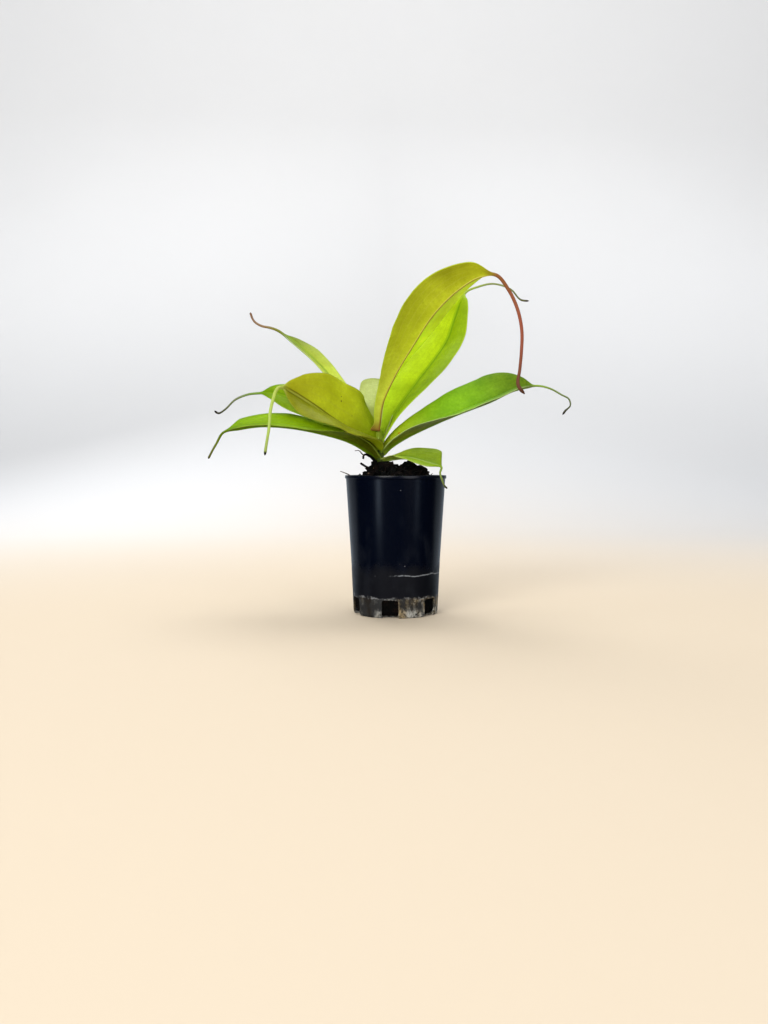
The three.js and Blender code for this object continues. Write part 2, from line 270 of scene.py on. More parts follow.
# Small scattered dots, such as specks on a leaf, grit or dust. Amount is the share of cells with a dot.
specks, given, result = newGroup(
    "specks", {"Scale": "value", "Amount": "value", "Size": "value"}, {"Mask": "value"})
cells = addNode(specks, "ShaderNodeTexVoronoi",
                {"Vector": objectCoordinates(specks), "Scale": given["Scale"]}, feature="F1")
cellValue = addNode(specks, "ShaderNodeSeparateColor", {0: cells.outputs["Color"]}).outputs[0]
chosen = calculate(specks, "LESS_THAN", cellValue, given["Amount"])
halfSize = times(specks, given["Size"], 0.5)
inside = mapped(specks, cells.outputs["Distance"], given["Size"], halfSize)
specks.links.new(times(specks, chosen, inside), result["Mask"])

# Long veins beside the midrib and a fine net between them. Across runs from -1 to 1 over the midrib.
veins, given, result = newGroup(
    "veins", {"Across": "value", "Along": "value", "Count": "value"}, {"Long": "value", "Net": "value"})
farOut = calculate(veins, "ABSOLUTE", given["Across"])
wander = addNode(veins, "ShaderNodeTexNoise",
                 {"Vector": objectCoordinates(veins), "Scale": 60.0, "Detail": 2.0}).outputs["Fac"]
lanes = calculate(veins, "ADD", times(veins, farOut, given["Count"]), times(veins, wander, 0.35))
fromLine = gapTo(veins, calculate(veins, "FRACT", lanes), 0.5)
fadeEnds = times(veins, mapped(veins, given["Along"], 0.08, 0.25),
                 mapped(veins, given["Along"], 0.97, 0.8))
fadeMiddle = mapped(veins, farOut, 0.08, 0.2)
longVeins = times(veins, mapped(veins, fromLine, 0.16, 0), times(veins, fadeEnds, fadeMiddle))
veins.links.new(longVeins, result["Long"])
net = addNode(veins, "ShaderNodeTexVoronoi",
              {"Vector": objectCoordinates(veins), "Scale": 640.0}, feature="DISTANCE_TO_EDGE")
netLines = mapped(veins, net.outputs["Distance"], 0.09, 0)
veins.links.new(times(veins, netLines, fadeEnds), result["Net"])
print("shader groups done")


def toneAlong(tree, share, tones):
    first, middle, last = (srgb(tone) for tone in tones)
    inputs = {"Share": share, "First": first, "Middle": middle, "Last": last}
    return useGroup(tree, threeTone, inputs).outputs[0]


def cloudiness(tree, scale, contrast=2.6, stretch=(1, 1, 1)):
    return useGroup(tree, mottle, {"Scale": scale, "Contrast": contrast, "Stretch": stretch}).outputs[0]


def dotMask(tree, scale, amount, size):
    return useGroup(tree, specks, {"Scale": scale, "Amount": amount, "Size": size}).outputs[0]


view = {
    "place": (-0.0086, -0.6698, 0.1098),
    "pitch": 87,
    "lens": 31.75,  # mm on a 36 mm sensor, along the picture's long side
    "sensor": 36,
}

# A light is white and shows in gloss unless its entry says otherwise.
studio = {
    "key": {"place": (-0.7, -1.5, 1.0), "aim": (0, 0, 0.15), "size": 1.2, "power": 30,
            "tint": (1, 0.99, 0.96)},
    "top": {"place": (0.05, 0.5, 1.5), "aim": (0, 0, 0.12), "size": 1.2, "power": 15},
    "fill": {"place": (0.9, -1.4, 0.6), "aim": (0, 0, 0.12), "size": 1.1, "power": 9,
             "tint": (0.98, 0.99, 1)},
    "low": {"place": (-0.95, -1.35, 0.2), "aim": (-0.04, 0, 0.13), "size": 0.8, "power": 7,
            "inGloss": False},
    "back": {"place": (-0.6, 0.9, 0.75), "aim": (-0.05, 0, 0.13), "size": 0.7, "power": 5,
             "inGloss": False},
    "wall": {"place": (0, 0.5, 2.6), "aim": (0, 1.8, 1.0), "size": 3.8, "power": 33,
             "tint": (0.98, 0.99, 1)},
}
room = {"tint": (0.95, 0.97, 1.0), "strength": 0.22, "inGloss": 0.06}

camera = added(bpy.ops.object.camera_add, location=view["place"],
               rotation=(math.radians(view["pitch"]), 0, 0))
camera.data.lens = view["lens"]
camera.data.sensor_width = view["sensor"]
camera.data.clip_start = 0.01
bpy.context.scene.camera = camera
bpy.context.scene.view_settings.view_transform = "Standard"


def addLight(name, place, aim, size, power, tint=(1, 1, 1), inGloss=True):
    light = added(bpy.ops.object.light_add, type="AREA", location=place)
    light.name = name
    light.data.shape = "DISK"
    light.data.size = size
    light.data.energy = power
    light.data.color = tint
    light.rotation_euler = (Vector(aim) - Vector(place)).to_track_quat("-Z", "Y").to_euler()
    light.visible_camera = False
    light.visible_glossy = inGloss


for lightName, settings in studio.items():
    addLight(lightName + "Light", **settings)

world = bpy.data.worlds.new("room")
bpy.context.scene.world = world
world.use_nodes = True
# the room that shows in gloss is darker than the one that lights
air = world.node_tree
seenInGloss = addNode(air, "ShaderNodeLightPath").outputs["Is Glossy Ray"]
roomLight = mapped(air, seenInGloss, 0, 1, room["strength"], room["inGloss"], "LINEAR")
setInputs(air, air.nodes["Background"], {"Color": (*room["tint"], 1), "Strength": roomLight})
print("camera and lights done")


# What all leaves share. Lengths are in millimetres.
blade = {
    "bladeRows": 66,
    "tendrilRows": 40,
    "facePoints": 23,  # from margin to margin, on the upper and again on the lower face
    "thickness": 0.62,
    "groove": 0.35,  # depth along the midrib on the upper face
    "rib": 1.15,  # height along the midrib on the lower face
    "ribWidth": 1.1,
    "bulge": 0.35,
    "waves": 2.3,  # along one margin
    "quilt": 0.5,  # height of the soft unevenness
    "quiltFrom": 6,  # reached this far from the midrib
    "stepsBetween": 40,
    "lookAhead": 0.3,
    # colours, texture scales and strengths, and where marks end and start, in millimetres or as a share
    "darker": "#cfcb8e", "lighter": "#eef044", "lighterShare": 0.16, "fineShare": 0.55,
    "cloudScale": 46.0, "fineScale": 520.0,
    "veinCount": 5.0, "longShare": 0.13, "netShare": 0.15,
    "onRib": (1.1, 0.5), "ribShadeBand": (0.6, 0.15), "onMargin": (0.9, 0.2), "onFoot": (0.075, 0.0),
    "speck": "#3a3412", "speckScale": 150.0, "speckSize": 0.16, "markShare": 0.85,
    "through": "#ffffa8", "roughness": (0.3, 0.46),
}
leafMarks = ("along", "across", "fromRib", "fromMargin", "upper")

# Millimetres and degrees, as in the model. Three values are for the foot, the middle and the tip.
# The outline swells to its widest share of the length, by powers for the foot's side and the tip's side.
# A lobe is the side, gain, place and length of a wider stretch. The painted half light is the side, colour
# and gain of a half made lighter or darker, painted light and shade. A rib shade side of 0 paints the shade
# line on both sides of the midrib. A spot is its place along and across the blade, its size and its colour.
# The midrib's foot has the rib's colour unless it is given.
usualLeaf = {
    "footWidth": 5, "lobe": (1, 0, 0.5, 0.2), "roundFrom": 0.9, "footFlare": 0, "specks": 0.0,
    "paintedHalfLight": (1, "#ffffff", 1), "ribShadeSide": 0, "ribShadePlace": 1.3, "spots": [], "wave": 0.5,
}
leaves = {
    "leaf_arching": {
        "midrib": [(-13, -3, 134), (-12, -8, 144), (-10, -12, 155), (-1, -20, 174), (11, -31, 193),
                   (25, -42, 213), (41, -51, 228), (56, -58, 236), (66, -61, 236)],
        "tendril": [(74, -63, 226), (80, -64, 213), (83, -64, 199), (83, -63, 185), (82, -62, 172),
                    (81, -61, 164), (83, -61, 160), (86, -61, 157)],
        "azimuth": -40, "halfWidth": 24.5, "widest": 0.66, "slender": 1.8, "blunt": 0.78,
        "fold": (40, 18, 30), "roll": (0, 0, -15), "tendrilRadius": (1.2, 1.0, 1.25),
        "lobe": (-1, 0.08, 0.93, 0.04), "roundFrom": 0.925, "footFlare": 0.45,
        "upper": ("#9db52e", "#a9bb2a", "#b0b534"), "under": ("#e4f268", "#d8e834", "#bec628"),
        "margin": "#c3d640", "rib": "#d6d46a", "ribFoot": "#ad9a44", "ribShade": "#84581c", "foot": "#9a5e34",
        "tendrilTones": ("#925c38", "#a25c48", "#724c3c"), "tip": "#5a3a2a",
        "paintedHalfLight": (1, "#f4ffff", 1.75), "ribShadeSide": 1, "ribShadePlace": -0.1, "specks": 0.02, "gloss": 0.08,
        "glow": 0.4,
    },
    "leaf_upright": {
        "midrib": [(-12, 1, 124), (-8, 3, 132), (0, 9, 148), (15, 20, 170), (30, 31, 190), (41, 40, 207),
                   (48, 48, 227), (56, 55, 246)],
        "tendril": [(66, 57, 251), (79, 60, 254), (93, 62, 250), (101, 63, 242), (108, 63, 241)],
        "azimuth": 40, "halfWidth": 21, "widest": 0.46, "slender": 1.35, "blunt": 0.6, "fold": (35, 15, 12),
        "roll": (15, 15, 17), "tendrilRadius": (0.9, 0.6, 0.8), "roundFrom": 0.95,
        "upper": ("#a4d01c", "#bade08", "#bee008"), "under": ("#8aa62c", "#9dbb20", "#98b022"),
        "margin": "#b6cf3c", "rib": "#6a9208", "ribFoot": "#84a818", "ribShade": "#88ac0c", "foot": "#7f9a24",
        "tendrilTones": ("#9bb04a", "#8f9a64", "#5c5a40"), "tip": "#3c3528", "paintedHalfLight": (-1, "#cfdc60", 1),
        "gloss": 0.06, "glow": 0.3,
    },
    "leaf_right": {
        "midrib": [(-10, 0, 117), (-4, 1, 123), (7, 3, 130), (26, 5, 139), (50, 8, 149), (71, 10, 157),
                   (90, 12, 166), (106, 13, 169)],
        "tendril": [(116, 13, 167), (125, 12, 162), (130, 11, 159), (131, 10, 154), (127, 9, 150),
                    (125, 9, 147)],
        "azimuth": 6, "halfWidth": 22.5, "widest": 0.74, "slender": 0.7, "blunt": 1, "fold": (50, 31, 34),
        "roll": (14, 29, 34), "tendrilRadius": (0.8, 0.5, 0.8), "roundFrom": 0.94,
        "upper": ("#aec40e", "#7ec21c", "#406c04"), "under": ("#7c9414", "#647408", "#60700c"),
        "margin": "#a6b878", "rib": "#7ea62a", "ribShade": "#5e8614", "foot": "#8ea634",
        "tendrilTones": ("#86a43a", "#6f7f4a", "#3e3a2c"), "tip": "#241f1a", "gloss": 0.1, "glow": 0.25,
        "spots": [((0.155, 0.4), 1.6, "#b86a10"), ((0.18, 0.15), 1.2, "#c9a42c")],
    },
    "leaf_small": {
        "midrib": [(-10, -1, 112), (-5, -4, 114), (1, -8, 115), (7, -14, 115), (13, -18, 114),
                   (20, -23, 112), (27, -27, 110), (32, -30, 108)],
        "tendril": [(31, -32, 104), (32, -33, 100), (34, -34, 95), (36, -34, 93)],
        "azimuth": -38, "halfWidth": 13, "widest": 0.8, "slender": 1.3, "blunt": 0.35, "fold": (45, 25, 25),
        "roll": (5, 26, 28), "footWidth": 3.5, "tendrilRadius": (0.8, 0.6, 0.7), "wave": 0.3,
        "upper": ("#b8cc4c", "#789a10", "#769814"), "under": ("#93a64a", "#8fa440", "#8a9e3a"),
        # its pale margin colour is a painted sheen along the lower edge
        "margin": "#a8b860", "rib": "#9ab25a", "ribShade": "#6e8c1c", "foot": "#8b9c4a",
        "tendrilTones": ("#7c9430", "#7a8a44", "#3e3a2c"), "tip": "#2c2822",
        "paintedHalfLight": (-1, "#ffffff", 1.75), "gloss": 0.12, "glow": 0.25,
    },
    "leaf_broad": {
        "midrib": [(-12, -1, 120), (-18, -6, 126), (-29, -14, 132), (-44, -23, 141), (-57, -31, 150),
                   (-71, -38, 159), (-79, -44, 163)],
        "tendril": [(-82, -49, 161), (-84, -51, 155), (-86, -52, 146), (-87, -52, 135), (-89, -52, 123),
                    (-90, -52, 116)],
        "azimuth": -150, "halfWidth": 32, "widest": 0.57, "slender": 0.6, "blunt": 0.85,
        "fold": (36, 28, 20), "roll": (-32, -46, -72), "footWidth": 4, "tendrilRadius": (1.2, 0.9, 1),
        "lobe": (-1, 0.33, 0.24, 0.17), "roundFrom": 0.96, "wave": 0.6,
        # the pale foot colour and the lower face's pale foot tone are painted light on the shaded foot
        "upper": ("#94b410", "#dae82a", "#ccd22c"), "under": ("#d0e838", "#acb420", "#98922a"),
        "margin": "#96983a", "rib": "#a9ad4a", "ribFoot": "#a2b53a", "ribShade": "#5c5614", "foot": "#b0c824",
        "tendrilTones": ("#bcc866", "#bed474", "#acbe6c"), "tip": "#15120e", "paintedHalfLight": (1, "#b6b83e", 1),
        "specks": 0.05, "gloss": 0.07, "glow": 0.45,
        "spots": [((0.5, -0.44), 1.3, "#2c240c"), ((0.52, -0.52), 0.9, "#2c240c"),
                  ((0.75, 0.3), 0.9, "#3a3010"), ((0.62, 0.25), 0.8, "#3a3010"),
                  ((0.36, -0.3), 0.7, "#4a4010")],
    },
    "leaf_slim": {
        "midrib": [(-12, 0, 116), (-20, 2, 126), (-34, 4, 136), (-56, 6, 149), (-75, 8, 158), (-90, 9, 163),
                   (-104, 9, 163)],
        "tendril": [(-111, 9, 162), (-120, 8, 158), (-127, 7, 151), (-132, 6, 148), (-135, 6, 150)],
        "azimuth": 174, "halfWidth": 16, "widest": 0.68, "slender": 1.3, "blunt": 0.9, "fold": (50, 8, 8),
        "roll": (0, -40, -40), "tendrilRadius": (0.9, 0.6, 0.8), "wave": 0.4,
        "upper": ("#9cb40c", "#82a604", "#6ea004"), "under": ("#769c10", "#7caa10", "#709c14"),
        "margin": "#9cb83c", "rib": "#86aa20", "ribFoot": "#8fae30", "ribShade": "#6c9010", "foot": "#86a02c",
        "tendrilTones": ("#7c9a48", "#7c8464", "#3a362e"), "tip": "#1c1916", "gloss": 0.02, "glow": 0.36,
    },
    "leaf_low": {
        "midrib": [(-12, 0, 111), (-20, -3, 119), (-34, -6, 127), (-55, -9, 133), (-77, -12, 137),
                   (-97, -15, 138), (-112, -17, 136), (-124, -18, 133)],
        "tendril": [(-129, -19, 125), (-133, -19, 118), (-135, -19, 114)],
        "azimuth": -172, "halfWidth": 21.5, "widest": 0.74, "slender": 0.75, "blunt": 0.28,
        "fold": (50, 15, 12), "roll": (0, -17, -12), "tendrilRadius": (0.9, 0.7, 0.8), "wave": 0.4,
        # its upper face is paler towards the foot: painted light where leaf_broad shades it
        "upper": ("#e4fc44", "#bcf204", "#8cc404"), "under": ("#5c6c0c", "#66760c", "#74880c"),
        "margin": "#a3b84a", "rib": "#8fb22e", "ribShade": "#6c900c", "foot": "#7f9420",
        "tendrilTones": ("#6c8418", "#7e8c30", "#6a6a34"), "tip": "#4c4a2a", "gloss": 0.04, "glow": 0.55,
    },
    "leaf_rising": {
        "midrib": [(-12, 0, 125), (-17, 6, 136), (-30, 20, 154), (-46, 34, 172), (-62, 46, 190),
                   (-77, 56, 204), (-93, 64, 217)],
        "tendril": [(-100, 66, 220), (-108, 68, 222), (-114, 69, 226), (-117, 69, 233)],
        "azimuth": 142, "halfWidth": 11, "widest": 0.74, "slender": 2, "blunt": 1.1, "fold": (50, 26, 20),
        "roll": (0, -6, -6), "tendrilRadius": (1.1, 0.8, 0.9), "wave": 0.3,
        "upper": ("#8eac28", "#e0f460", "#6a8412"), "under": ("#a3ba50", "#a8c050", "#9ab048"),
        "margin": "#b4c890", "rib": "#a8c464", "ribShade": "#92b03a", "foot": "#9cb44a",
        "tendrilTones": ("#7e8230", "#94785a", "#8a6a54"), "tip": "#7c5c44", "gloss": 0.1, "glow": 0.35,
    },
    "leaf_back": {
        "midrib": [(-12, 1, 123), (-11, 8, 133), (-10, 24, 153), (-9, 45, 170), (-9, 64, 178),
                   (-12, 84, 177), (-17, 100, 168)],
        "tendril": [(-22, 106, 158), (-25, 108, 147), (-25, 107, 136)],
        "azimuth": 92, "halfWidth": 19, "widest": 0.5, "slender": 0.8, "blunt": 0.8, "fold": (50, 20, 10),
        "roll": (0, -20, -10), "tendrilRadius": (1, 0.8, 0.9),
        "upper": ("#aac05e", "#bccd7a", "#b2c46c"), "under": ("#a8be5e", "#bacb78", "#b0c06a"),
        "margin": "#c0cc90", "rib": "#b4c47c", "ribShade": "#98ac50", "foot": "#98ac50",
        "tendrilTones": ("#98a860", "#8c9060", "#6c6044"), "tip": "#4c4030", "gloss": 0.15, "glow": 0.4,
    },
}


def threeWay(values, share):
    foot, middle, tip = values
    if share < 0.5:
        return blendValue(foot, middle, smoothStep(share, 0, 0.5))
    return blendValue(middle, tip, smoothStep(share, 0.5, 1))


# Slope of a curve at the middle one of three points, with the gaps before and after it.
def slopeAt(before, here, after, gapBefore, gapAfter):
    return ((here - before) / gapBefore - (after - before) / (gapBefore + gapAfter)
            + (after - here) / gapAfter)


# Dense places along a smooth curve through the points, and how far along each one is.
def curveThrough(points, steps):
    points = [Vector(point) for point in points]
    ends = [points[0] * 2 - points[1], *points, points[-1] * 2 - points[-2]]
    places = []
    for i in range(len(points) - 1):
        before, start, finish, after = ends[i:i + 4]
        pairs = ((before, start), (start, finish), (finish, after))
        gaps = [max((b - a).length ** 0.5, 1e-4) for a, b in pairs]
        out = slopeAt(before, start, finish, gaps[0], gaps[1]) * gaps[1]
        into = slopeAt(start, finish, after, gaps[1], gaps[2]) * gaps[1]
        for k in range(steps):
            s = k / steps
            places.append(start + out * s + (start * -3 + finish * 3 - out * 2 - into) * s ** 2
                          + (start * 2 - finish * 2 + out + into) * s ** 3)
    places.append(points[-1])
    reached = [0.0]
    for a, b in zip(places, places[1:]):
        reached.append(reached[-1] + (b - a).length)
    return places, reached


def placeAt(places, reached, distance):
    low, high = 0, len(reached) - 1
    while high - low > 1:
        middle = (low + high) // 2
        if reached[middle] <= distance:
            low = middle
        else:
            high = middle
    span = reached[high] - reached[low]
    return places[low].lerp(places[high], (distance - reached[low]) / span)


def halfWidthAt(leaf, share):
    widest = leaf["widest"]
    if share < widest:
        swell = math.sin(math.pi / 2 * share / widest) ** leaf["slender"]
    else:
        swell = max(math.cos(math.pi / 2 * (share - widest) / (1 - widest)), 0) ** leaf["blunt"]
    flare = math.exp(-(share / 0.02) ** 2) - 0.5 * math.exp(-((share - 0.05) / 0.03) ** 2)
    stalk = blendValue(leaf["footWidth"], leaf["tendrilRadius"][0], share)
    stalk *= 1 + leaf["footFlare"] * flare
    return math.hypot(stalk * (1 - swell), leaf["halfWidth"] * swell)


# The tendril swells or thins to its tip, which ends round.
def tendrilRadiusAt(leaf, share):
    start, end, tip = leaf["tendrilRadius"]
    radius = blendValue(start, end, share) + (tip - end) * smoothStep(share, 0.8, 0.95)
    if share > 0.96:
        radius *= math.sqrt(max(1 - ((share - 0.96) / 0.0402) ** 2, 0.002))
    return radius


# Place, side and normal of every row of points, from the foot along the blade and the tendril.
def leafRows(leaf):
    points = [*leaf["midrib"], *leaf["tendril"]]
    places, reached = curveThrough(points, blade["stepsBetween"])
    bladeEnd = reached[(len(leaf["midrib"]) - 1) * blade["stepsBetween"]]
    total = reached[-1]
    heading = math.radians(leaf["azimuth"])
    level = Vector((-math.sin(heading), math.cos(heading), 0))
    bladeRows, tendrilRows = blade["bladeRows"], blade["tendrilRows"]
    rows = []
    normal = None
    for i in range(bladeRows + tendrilRows + 1):
        share = i / bladeRows
        tendrilShare = max(i - bladeRows, 0) / tendrilRows
        distance = share * bladeEnd if share <= 1 else bladeEnd + tendrilShare * (total - bladeEnd)
        here = placeAt(places, reached, distance)
        ahead = placeAt(places, reached, min(distance + blade["lookAhead"], total))
        behind = placeAt(places, reached, max(distance - blade["lookAhead"], 0))
        tangent = (ahead - behind).normalized()
        if share <= 1:
            side = (level - tangent * level.dot(tangent)).normalized()
            normal = tangent.cross(side).normalized()
            normal.rotate(Matrix.Rotation(math.radians(threeWay(leaf["roll"], share)), 3, tangent))
        else:
            normal = (normal - tangent * normal.dot(tangent)).normalized()
        side = normal.cross(tangent).normalized()
        rows.append((here, side, normal.copy(), min(share, 1), tendrilShare))
    return rows


# A closed ring of points round the leaf, each with what its material needs to know.
def leafRing(leaf, row, seed):
    here, side, normal, share, tendrilShare = row
    fold = math.radians(threeWay(leaf["fold"], share))
    evenHalf = halfWidthAt(leaf, share)
    radius = tendrilRadiusAt(leaf, tendrilShare)
    roundness = smoothStep(share, leaf["roundFrom"], 1)
    lobeSide, lobeGain, lobePlace, lobeLength = leaf["lobe"]
    lobe = 1 + lobeGain * math.exp(-((share - lobePlace) / lobeLength) ** 2)
    count = blade["facePoints"]
    ring = []
    for i in range(2 * count):
        upper = i < count
        even = -1 + 2 * (i if upper else 2 * count - 1 - i) / (count - 1)
        across = math.copysign(0.4 * abs(even) + 0.6 * abs(even) ** 1.6, even)  # closer near the midrib
        spread = abs(across)
        half = evenHalf * (lobe if across * lobeSide > 0 else 1)
        fromRib = half * spread
        lift = half * spread * math.sin(fold) + blade["bulge"] * half * spread * (1 - spread)
        ripple = math.sin(math.tau * (blade["waves"] * share + 0.31 * seed + (0.4 if across > 0 else 0)))
        lift += leaf["wave"] * ripple * spread ** 2 * math.sin(math.pi * share)
        quilt = noise.noise((here + side * across * half) * 0.11 + Vector((seed, 0, 0)))
        quilt *= blade["quilt"] * min(fromRib / blade["quiltFrom"], 1)
        lift += quilt * math.sin(math.pi * share)
        ridge = math.exp(-(fromRib / blade["ribWidth"]) ** 2)
        if upper:
            lift -= blade["groove"] * ridge
        else:
            lift -= blade["thickness"] / math.cos(fold) + blade["rib"] * ridge
        angle = math.pi / 2 * across
        aside = blendValue(half * across * math.cos(fold), radius * math.sin(angle), roundness)
        up = blendValue(lift, (radius if upper else -radius) * math.cos(angle), roundness)
        ring.append({
            "place": (here + side * aside + normal * up) * mm,
            "along": share + tendrilShare,
            "across": across,
            "fromRib": half * across,
            "fromMargin": half * (1 - spread),
            "upper": 1.0 if upper else 0.0,
        })
    return ring


def leafPiece(rings):
    around = 2 * blade["facePoints"]
    piece = added(bpy.ops.mesh.primitive_grid_add, x_subdivisions=around, y_subdivisions=len(rings) - 1,
                  size=2)
    marks = {mark: [] for mark in leafMarks}
    for vertex in piece.data.vertices:
        column = round((vertex.co.x + 1) / 2 * around) % around
        row = round((vertex.co.y + 1) / 2 * (len(rings) - 1))
        point = rings[row][column]
        vertex.co = point["place"]
        for mark, values in marks.items():
            values.append(point[mark])
    for mark, values in marks.items():
        piece.data.attributes.new(mark, "FLOAT", "POINT").data.foreach_set("value", values)
    startEdit(piece)
    bpy.ops.mesh.remove_doubles(threshold=1e-7)
    bpy.ops.mesh.select_all(action="DESELECT")
    bpy.ops.mesh.select_non_manifold()
    bpy.ops.mesh.edge_face_add()
    endClosed()
    smooth = piece.modifiers.new("smooth", "SUBSURF")
    smooth.levels = 1
    smooth.render_levels = 1
    applyModifiers(piece)
    smoothShade(piece)
    return piece


def markValue(tree, mark):
    return addNode(tree, "ShaderNodeAttribute", attribute_name=mark).outputs["Fac"]


def leafMaterial(name, leaf, rings):
    material, tree, shader = newMaterial(name)
    along, across, fromRib, fromMargin, upper = (markValue(tree, mark) for mark in leafMarks)
    ribGap = calculate(tree, "ABSOLUTE", fromRib)
    onBlade = mapped(tree, along, 1, 0.9)
    under, over = (toneAlong(tree, along, leaf[face]) for face in ("under", "upper"))
    colour = mixColour(tree, upper, under, over)

    # painted light and shade: one half of the blade is made lighter or darker than the rest
    half, tone, gain = leaf["paintedHalfLight"]
    onPaintedHalf = times(tree, mapped(tree, times(tree, across, half), -0.05, 0.12), mapped(tree, along, 0.06, 0.3))
    paintedHalfColour = mixColour(tree, 1, colour, [v * gain for v in srgb(tone)], "MULTIPLY")
    colour = mixColour(tree, onPaintedHalf, colour, paintedHalfColour)

    clouds = cloudiness(tree, blade["cloudScale"], 2.4)
    fine = cloudiness(tree, blade["fineScale"])
    darker = mixColour(tree, 1, colour, blade["darker"], "MULTIPLY")
    lighter = mixColour(tree, blade["lighterShare"], colour, blade["lighter"])
    colour = mixColour(tree, clouds, lighter, darker)
    colour = layTone(tree, colour, darker, fine, blade["fineShare"])

    vein = useGroup(tree, veins, {"Across": across, "Along": along, "Count": blade["veinCount"]})
    colour = layTone(tree, colour, leaf["rib"], vein.outputs["Long"], blade["longShare"])
    colour = layTone(tree, colour, leaf["rib"], vein.outputs["Net"], blade["netShare"])

    # midrib, which changes tone towards its foot, with a darker line of painted shade beside it, on one side
    # or on both
    onRib = times(tree, mapped(tree, ribGap, *blade["onRib"]), onBlade)
    ribColour = mixColour(tree, mapped(tree, along, 0.5, 0.05), leaf["rib"], leaf.get("ribFoot", leaf["rib"]))
    colour = layTone(tree, colour, ribColour, onRib, 0.85)
    beside = times(tree, fromRib, leaf["ribShadeSide"]) if leaf["ribShadeSide"] else ribGap
    onRibShade = times(tree, mapped(tree, gapTo(tree, beside, leaf["ribShadePlace"]), *blade["ribShadeBand"]), onBlade)
    colour = layTone(tree, colour, leaf["ribShade"], onRibShade, 0.8)
    onMargin = times(tree, mapped(tree, fromMargin, *blade["onMargin"]), onBlade)
    colour = layTone(tree, colour, leaf["margin"], onMargin, 0.7)
    colour = layTone(tree, colour, leaf["foot"], mapped(tree, along, *blade["onFoot"]), 0.85)

    dots = dotMask(tree, blade["speckScale"], leaf["specks"], blade["speckSize"])
    colour = layTone(tree, colour, blade["speck"], dots, blade["markShare"])
    for (spotAlong, spotAcross), size, tone in leaf["spots"]:
        ring = rings[round(spotAlong * blade["bladeRows"])][:blade["facePoints"]]
        nearest = min(ring, key=lambda point: abs(point["across"] - spotAcross))
        apart = addNode(tree, "ShaderNodeVectorMath", {0: objectCoordinates(tree), 1: nearest["place"]},
                        operation="DISTANCE").outputs["Value"]
        uneven = timesPlus(tree, fine, 0.5 * size * mm, apart)
        spot = mapped(tree, uneven, size * mm, 0.4 * size * mm)
        colour = layTone(tree, colour, tone, spot, blade["markShare"])

    tendril = toneAlong(tree, calculate(tree, "SUBTRACT", along, 1), leaf["tendrilTones"])
    tendril = mixColour(tree, mapped(tree, along, 1.93, 1.97), tendril, leaf["tip"])
    colour = mixColour(tree, mapped(tree, along, 0.94, 1.02), colour, tendril)

    relief = timesPlus(tree, vein.outputs["Net"], -0.25, fine)
    relief = timesPlus(tree, vein.outputs["Long"], -0.8, relief)
    normal = bumped(tree, relief, 0.22, 0.0004)
    roughness = mapped(tree, clouds, 0, 1, *blade["roughness"], "LINEAR")
    setShader(tree, shader, colour, roughness, leaf["gloss"], normal)
    # light that comes through the blade
    glow = mixColour(tree, 1, colour, blade["through"], "MULTIPLY")
    through = addNode(tree, "ShaderNodeBsdfTranslucent", {"Color": glow, "Normal": normal})
    both = addNode(tree, "ShaderNodeMixShader",
                   {0: leaf["glow"], 1: shader.outputs[0], 2: through.outputs[0]})
    tree.links.new(both.outputs[0], tree.nodes["Material Output"].inputs["Surface"])
    return material


for seed, (name, ownValues) in enumerate(leaves.items()):
    leaf = {**usualLeaf, **ownValues}
    rings = [leafRing(leaf, row, seed) for row in leafRows(leaf)]
    finishPiece(leafPiece(rings), name + "_blade", leafMaterial(name + "_green", leaf, rings), name, name)
print("leaves done")


# Millimetres. Scars are shares of the height, and the stem leans sideways by its lean at the top.
stem = {
    "place": (-11, 0), "foot": 92, "top": 137, "footRadius": 3.6, "topRadius": 2.6, "lean": -2,
    "corners": 28, "rings": 26, "scars": (0.2, 0.31, 0.42, 0.53, 0.64, 0.75, 0.86), "scarDepth": 0.28,
    "tones": ("#222c08", "#3c560c", "#86a01c"), "cloud": "#4a4a18",
}


def stemPiece():
    height = (stem["top"] - stem["foot"]) * mm
    radius = stem["footRadius"]
    piece = startDisc(stem["corners"], radius, (*stem["place"], stem["foot"]))
    for i in range(1, stem["rings"] + 1):
        share = i / stem["rings"]
        wanted = blendValue(stem["footRadius"], stem["topRadius"], share)
        wanted -= stem["scarDepth"] * max(math.exp(-((share - scar) / 0.02) ** 2) for scar in stem["scars"])
        if share > 0.93:
            wanted *= math.sqrt(max(1 - ((share - 0.93) / 0.075) ** 2, 0.05))
        drift = stem["lean"] * (share ** 2 - ((i - 1) / stem["rings"]) ** 2) * mm
        extrude(drift, 0, height / stem["rings"])
        centre = ((stem["place"][0] + stem["lean"] * share ** 2) * mm, 0, stem["foot"] * mm + height * share)
        bpy.ops.transform.resize(value=(wanted / radius, wanted / radius, 1), center_override=centre)
        radius = wanted
    endClosed()
    smoothShade(piece, 60)
    return piece


def stemMaterial():
    material, tree, shader = newMaterial("stem_green")
    height = placeValues(tree)[2]
    share = mapped(tree, height, 0.103, 0.132, way="LINEAR")
    clouds = cloudiness(tree, 240, 2.5, (1, 1, 0.4))
    colour = layTone(tree, toneAlong(tree, share, stem["tones"]), stem["cloud"], clouds, 0.6)
    roughness = mapped(tree, clouds, 0, 1, 0.4, 0.6, "LINEAR")
    setShader(tree, shader, colour, roughness, 0.12, bumped(tree, clouds, 0.3, 0.0005))
    return material


finishPiece(stemPiece(), "stem_shoot", stemMaterial(), "stem", "stem")
print("stem done")


